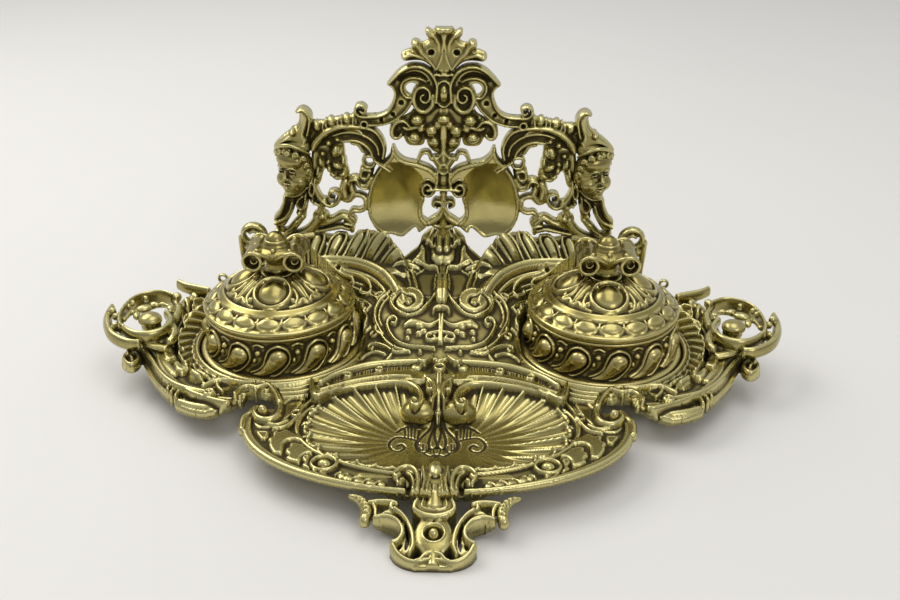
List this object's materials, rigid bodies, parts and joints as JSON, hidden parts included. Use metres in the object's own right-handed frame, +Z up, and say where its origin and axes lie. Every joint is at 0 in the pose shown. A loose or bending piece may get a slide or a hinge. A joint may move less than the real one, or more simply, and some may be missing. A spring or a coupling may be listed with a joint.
{
  "type": "inkwell",
  "caption": "Cast brass desk inkwell stand: oval shell dish in front, covered ink pots with lift-off lids, side handles and an openwork gallery across the back.",
  "frame": {"origin": "on the table, under the middle of the stand's bounding box", "axes": "+X to the viewer's right along the stand's long side, +Y from the front foot towards the gallery, +Z up"},
  "size_m": [0.267, 0.158, 0.1315],
  "materials": {
    "tray_brass": "aged cast brass, high spots rubbed bright, dark patina in the recesses",
    "gallery_brass": "aged cast brass with polished smooth dishes",
    "pot_brass": "aged cast brass with dark recesses between swirl gadroons",
    "lid_brass": "aged cast brass, rubbed bright on the domes",
    "screw_brass": "turned brass, dulled",
    "cup_glaze": "white glazed earthenware liner with faint ink stains"
  },
  "bodies": {
    "stand": {"base_tray": "tray_brass", "back_gallery": "gallery_brass", "gallery_screws": "screw_brass", "left_pot": "pot_brass", "right_pot": "pot_brass", "left_pot_screw": "screw_brass", "right_pot_screw": "screw_brass", "left_pot_washer": "screw_brass", "right_pot_washer": "screw_brass", "left_foot": "tray_brass", "right_foot": "tray_brass", "foot_screws": "screw_brass"},
    "left_cup": {"left_ink_cup": "cup_glaze"},
    "right_cup": {"right_ink_cup": "cup_glaze"},
    "left_cover": {"left_lid": "lid_brass", "left_knob": "lid_brass", "left_knob_screw": "screw_brass", "left_knob_nut": "screw_brass"},
    "right_cover": {"right_lid": "lid_brass", "right_knob": "lid_brass", "right_knob_screw": "screw_brass", "right_knob_nut": "screw_brass"}
  },
  "joints": [
    {"name": "left_cup_lift", "type": "slide", "parent": "stand", "child": "left_cup", "axis": [0, 0, 1], "range_m": [0, 0.12]},
    {"name": "right_cup_lift", "type": "slide", "parent": "stand", "child": "right_cup", "axis": [0, 0, 1], "range_m": [0, 0.12]},
    {"name": "left_lid_lift", "type": "slide", "parent": "left_cup", "child": "left_cover", "axis": [0, 0, 1], "range_m": [0, 0.12]},
    {"name": "right_lid_lift", "type": "slide", "parent": "right_cup", "child": "right_cover", "axis": [0, 0, 1], "range_m": [0, 0.12]}
  ]
}
